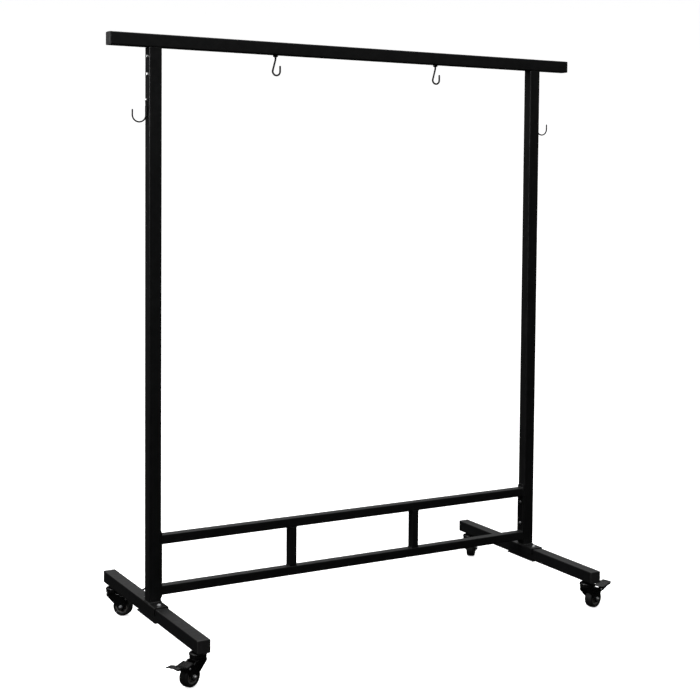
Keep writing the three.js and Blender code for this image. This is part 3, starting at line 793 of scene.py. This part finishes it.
def caster_fork(name, place, trail, axle, pin, pivot):
    """Fork folded from one sheet, its lower race, the ball ring between the races and the pedal's pin."""
    body = f"fork_{name}"
    inside, thick = 16, 2.5
    y = inside + thick / 2
    roof, bend = 75.4, 3.2
    heights = [axle - 11 + 0.05 + (11 * (1 - math.cos(math.radians(a)))) for a in range(0, 90, 15)]
    heights += [axle + step for step in (0, 4, 8, 12, 16, 20, 24, 27)]
    heights += [pivot + step for step in (0, 1.5, 3, 4.2, 5.2, 5.8, 6.1, 7.5)]
    profile = [(y, z) for z in heights]
    profile += [(y - bend + bend * math.cos(math.radians(a)), roof - bend + bend * math.sin(math.radians(a)))
                for a in (0, 30, 60, 90)]
    profile += [(y * share, roof) for share in (0.5, 0)]
    profile += [(-a, b) for a, b in profile[-2::-1]]
    columns = 10
    rows = []
    for across, z in profile:
        front, rear = fork_edges(z, trail, axle, pin, pivot)
        rows.append([(front + (rear - front) * step / columns, across, z) for step in range(columns + 1)])
    bm = bmesh.new()
    sheet(bm, [[place @ Vector(point) for point in row] for row in rows])
    bm = carved(bm, cutters(
        (4.2, -30, 30, place @ shift(trail, 0, axle) @ turn(90, "X")),
        (5.2, 60, 80, place),
    ), 0.55, thick)
    turned(bm, [
        (5.4, 73), (16, 73), (19.5, 73.4), (22.4, 74.6), (24.2, 76.6), (25, 79), (25, 82.4), (24.4, 84),
        (23, 84.8), (5.4, 84.8),
    ], place, 64, closed=True)
    piece(f"caster_yoke_{name}", bm, CASTER_BLACK, body, [f"caster_fork_{name}"], 38)

    balls = bmesh.new()
    count = 22
    for index in range(count):
        spot = place @ turn(360 * index / count, "Z") @ shift(22.9, 0, 85.85)
        bmesh.ops.create_icosphere(balls, subdivisions=2, radius=1.15, matrix=spot)
    piece(f"caster_balls_{name}", balls, ZINC, body)

    rivets = bmesh.new()
    for side in (-1, 1):
        at = place @ shift(pin, side * 20.9, pivot) @ turn(-90 * side, "X")
        profile = [(0, -24), (1.9, -24), (1.9, 0), (3.4, 0), (3.4, 0.5), (2.9, 1.2), (1.8, 1.75), (0, 1.95)]
        turned(rivets, profile, at, 28)
    piece(f"caster_pin_{name}", rivets, ZINC, body, sharp=50)


def caster_axle(name, at):
    """Axle bolt with a domed head and a domed nut, each on a washer."""
    bm = bmesh.new()
    seat = 18.6
    for side in (-1, 1):
        end = at @ turn(90 - 90 * side, "X")
        washer(bm, 3.9, 7.6, 0.9, end @ shift(z=seat))
        sides = 48
        rings = [level(circle(3.4, sides), seat + 0.8)]
        for height, limit in ((0.9, 6.3), (1.2, 6.8), (1.5, 7.6), (3.6, 7.6), (3.9, 6.8), (4.2, 6.2)):
            rings.append(level(polar(lambda a: min(hexagon(6.3, a), limit), sides), seat + height))
        for radius, height in ((5.2, 4.3), (5.0, 5.2), (4.4, 6.2), (3.2, 7.0), (1.6, 7.5), (0.001, 7.6)):
            rings.append(level(circle(radius, sides), seat + height))
        skin(bm, rings, end)
    turned(bm, [(0, -seat - 1), (3.9, -seat - 1), (3.9, seat + 1), (0, seat + 1)], at, 32)
    piece(f"caster_bolt_{name}", bm, ZINC, f"fork_{name}", [f"caster_axle_{name}"], 30)


def caster_wheel(name, at, radius):
    """Moulded hub with ribs between its rim and boss, and a crowned tyre with its parting line."""
    body = f"wheel_{name}"
    half = [(4.3, 15.2), (4.8, 15.4), (8, 15.4), (8.5, 14.9), (9, 5.4), (9.8, 5), (16.6, 5), (17.3, 5.6),
            (17.9, 11.8), (18.4, 12.4), (20.6, 12.4), (21, 12)]
    hub = bmesh.new()
    turned(hub, [*half, *[(r, -z) for r, z in half[::-1]]], at, 72, closed=True)
    for side in (0, 180):
        for index in range(8):
            spoke = at @ turn(side, "X") @ turn(45 * index, "Z")
            wide, narrow = 1.1, 0.7
            rings = [[Vector((x, y * w, z)) for x, y in ((8.2, -1), (18, -1), (18, 1), (8.2, 1))]
                     for w, z in ((wide, 4.5), (wide * 0.9, 9), (narrow, 10.2))]
            skin(hub, rings, spoke)
    piece(f"caster_hub_{name}_moulded", hub, HUB_PLASTIC, body, [f"caster_hub_{name}"], 34)

    width = 14
    profile = [(21.2, width - 1), (21.6, width - 0.2), (22.6, width), (24.6, width), (25, width - 0.5),
               (25.6, width - 0.5), (26, width), (27.6, width - 0.2)]
    for angle in range(10, 91, 10):
        a = math.radians(angle)
        profile.append((27.6 + (radius - 27.9) * math.sin(a), 6 + 7.8 * math.cos(a)))
    profile += [(radius - 0.12, 4), (radius - 0.02, 1), (radius, 0.35)]
    tyre = bmesh.new()
    turned(tyre, [*profile, *[(r, -z) for r, z in profile[::-1]]], at, 96, closed=True)
    piece(f"caster_tyre_{name}_moulded", tyre, RUBBER, body, [f"caster_tyre_{name}"], 34)


def pedal_shape(x):
    """Height of the tread, half its width and the depth of its folded sides, by distance from the pivot."""
    points = ((-17, 8.6, 19.6, 4), (-12, 8.9, 19.8, 9), (-6, 9.2, 19.8, 14.5), (0, 9.6, 19.8, 16),
              (6, 10, 19.8, 14), (11, 10.6, 19.9, 11.5), (16, 12.6, 20.2, 9), (22, 17, 20.8, 8),
              (28, 22.4, 21.2, 7.2), (33, 25, 21.3, 6.4), (40, 26.3, 21.2, 5.4), (45, 27, 20.6, 4.6),
              (48, 29, 19.6, 3.6), (50.6, 32.6, 17.5, 2.6))
    for before, after in zip(points, points[1:]):
        if x <= after[0]:
            share = (x - before[0]) / (after[0] - before[0])
            return [a + (b - a) * share for a, b in zip(before[1:], after[1:])]
    return points[-1][1:]


def caster_pedal(name, at):
    """Stamped pedal, drawn round its pivot: a ribbed tread with an upturned toe and folded sides."""
    rows = []
    stations = [-17 + 67.6 * step / 52 for step in range(53)]
    bend = 2.2
    rib_height = 1.1
    for x in stations:
        height, half, depth = pedal_shape(x)
        side = [(half, height - depth), (half, height - depth * 0.5), (half, height - bend)]
        for angle in map(math.radians, (30, 60, 90)):
            side.append((half - bend + bend * math.cos(angle), height - bend + bend * math.sin(angle)))
        ribs = min(1.0, max(0.0, (x - 14) / 8), max(0.0, (47 - x) / 5))
        flat = half - bend
        tread = [(flat * y, height + ribs * rib_height * max(0.0, math.cos(3.0 * math.pi * y)) ** 1.5)
                 for y in [0.97 - 0.97 * step / 18 for step in range(1, 18)]]
        right = [*side, *tread]
        left = [(-y, z) for y, z in right[::-1]]
        rows.append([(x, y, z) for y, z in [*right, (0, height + ribs * rib_height), *left]])
    bm = bmesh.new()
    sheet(bm, [[at @ Vector(point) for point in row] for row in rows])
    holes = cutters((2.3, -24, 24, at @ turn(90, "X")))
    treadle = carved(bm, holes, 0.4, 1.8)
    piece(f"caster_treadle_{name}", treadle, CASTER_BLACK, f"pedal_{name}",
          [f"caster_pedal_{name}"], 40)


def caster_spring(name, at):
    """Coil spring round the pedal's pin."""
    turns, steps = 7, 14
    path = []
    for step in range(turns * steps + 1):
        a = 2 * math.pi * step / steps
        path.append(Vector((3.4 * math.cos(a), -7 + 14 * step / (turns * steps), 3.4 * math.sin(a))))
    bm = bmesh.new()
    sweep(bm, path, 0.7, at, 8)
    turned(bm, [(0, -15.9), (1.9, -15.9), (1.9, 15.9), (0, 15.9)], at @ turn(90, "X"), 20)
    piece(f"caster_spring_{name}", bm, ZINC, f"fork_{name}")


# Stage


def plain(name, colour, rough):
    return finish(name, [c * 0.985 for c in colour], colour, rough, 40, 0.0002, Emission_Color=(1, 1, 1, 1),
                  Emission_Strength=0.7)


def stage():
    """Pale floor that runs up into a pale backdrop all round."""
    bm = bmesh.new()
    sides = 96
    profile = [(0.02, 0), (4, 0), (9, 0), (12, 0), (14, 0.25), (16, 1.2), (17.5, 3), (18, 6), (18, 12)]
    rings = [level(circle(radius, sides), height) for radius, height in profile]
    rows = [[bm.verts.new(point) for point in ring] for ring in rings]
    for row, after in zip(rows, rows[1:]):
        for index in range(sides):
            beside = (index + 1) % sides
            bm.faces.new((row[index], row[beside], after[beside], after[index]))
    bm.faces.new(rows[0])
    bmesh.ops.recalc_face_normals(bm, faces=bm.faces)
    mesh = bpy.data.meshes.new("floor")
    bm.to_mesh(mesh)
    bm.free()
    mesh.shade_smooth()
    mesh.materials.append(plain("pale_floor", (0.86, 0.86, 0.86), (0.7, 0.8)))
    floor = bpy.data.objects.new("floor", mesh)
    bpy.context.scene.collection.objects.link(floor)
    floor.visible_glossy = False
    floor.visible_diffuse = False


def softbox(name, place, target, size, power):
    lamp = bpy.data.lights.new(name, "AREA")
    lamp.shape = "RECTANGLE"
    lamp.size, lamp.size_y = size
    lamp.energy = power
    item = bpy.data.objects.new(name, lamp)
    item.location = place
    item.rotation_euler = (Vector(target) - Vector(place)).to_track_quat("-Z", "Y").to_euler()
    bpy.context.scene.collection.objects.link(item)


def world():
    """Sky of the studio: bright overhead and dim at the object's height, so that its faces read apart."""
    sky = bpy.data.worlds.new("studio")
    bpy.context.scene.world = sky
    sky.use_nodes = True
    tree = sky.node_tree
    dim = tree.nodes["Background"]
    direction = tree.nodes.new("ShaderNodeTexCoord").outputs["Generated"]
    split = tree.nodes.new("ShaderNodeSeparateXYZ")
    tree.links.new(direction, split.inputs["Vector"])
    lift = tree.nodes.new("ShaderNodeMapRange")
    lift.interpolation_type = "SMOOTHSTEP"
    lift.inputs["From Min"].default_value = 0.05
    lift.inputs["From Max"].default_value = 0.75
    lift.inputs["To Min"].default_value = 0.015
    lift.inputs["To Max"].default_value = 0.9
    tree.links.new(split.outputs["Z"], lift.inputs["Value"])
    tree.links.new(lift.outputs["Result"], dim.inputs["Strength"])
    dim.inputs["Color"].default_value = (1, 1, 1, 1)
    pale = tree.nodes.new("ShaderNodeBackground")
    pale.inputs["Color"].default_value = (1, 1, 1, 1)
    mix = tree.nodes.new("ShaderNodeMixShader")
    rays = tree.nodes.new("ShaderNodeLightPath")
    tree.links.new(rays.outputs["Is Camera Ray"], mix.inputs["Fac"])
    tree.links.new(dim.outputs["Background"], mix.inputs[1])
    tree.links.new(pale.outputs["Background"], mix.inputs[2])
    tree.links.new(mix.outputs["Shader"], tree.nodes["World Output"].inputs["Surface"])


def camera():
    """Camera in front of the left end, a little above the hooks, looking almost level."""
    yaw, pitch, roll = (math.radians(angle) for angle in (32.352, -2.977, 0.721))
    forward = Vector((math.sin(yaw) * math.cos(pitch), math.cos(yaw) * math.cos(pitch), math.sin(pitch)))
    right = Vector((math.cos(yaw), -math.sin(yaw), 0))
    up = right.cross(forward)
    tilted_right = right * math.cos(roll) + up * math.sin(roll)
    tilted_up = up * math.cos(roll) - right * math.sin(roll)
    lens = bpy.data.cameras.new("camera")
    lens.sensor_width = 36
    lens.lens = 72.64
    lens.shift_x = -0.16
    lens.shift_y = -0.1414
    lens.clip_end = 200
    item = bpy.data.objects.new("camera", lens)
    bpy.context.scene.collection.objects.link(item)
    turned_to = Matrix((tilted_right, tilted_up, -forward)).transposed().to_4x4()
    item.matrix_world = Matrix.Translation((-2.2282, -4.1778, 1.4748)) @ turned_to
    bpy.context.scene.camera = item


beam()
lower_frame()
for side, sign in SIDES:
    post(side, sign)
    side_bolts(side, sign)
    leg(side)
    gong_hook(side)
    mallet_hook(side, sign)
for name in CASTERS:
    caster(name)

stage()
world()
camera()
softbox("overhead", (-0.5, 0.2, 4.6), (0, 0, 0.8), (4.5, 3.5), 120)
softbox("left", (-2.8, -0.1, 2.4), (-0.72, 0, 1.7), (0.9, 0.9), 55)
softbox("front_left", (-3.4, -3.6, 3.4), (-0.3, 0, 0.4), (0.7, 0.7), 16)
bpy.context.scene.view_settings.view_transform = "Standard"
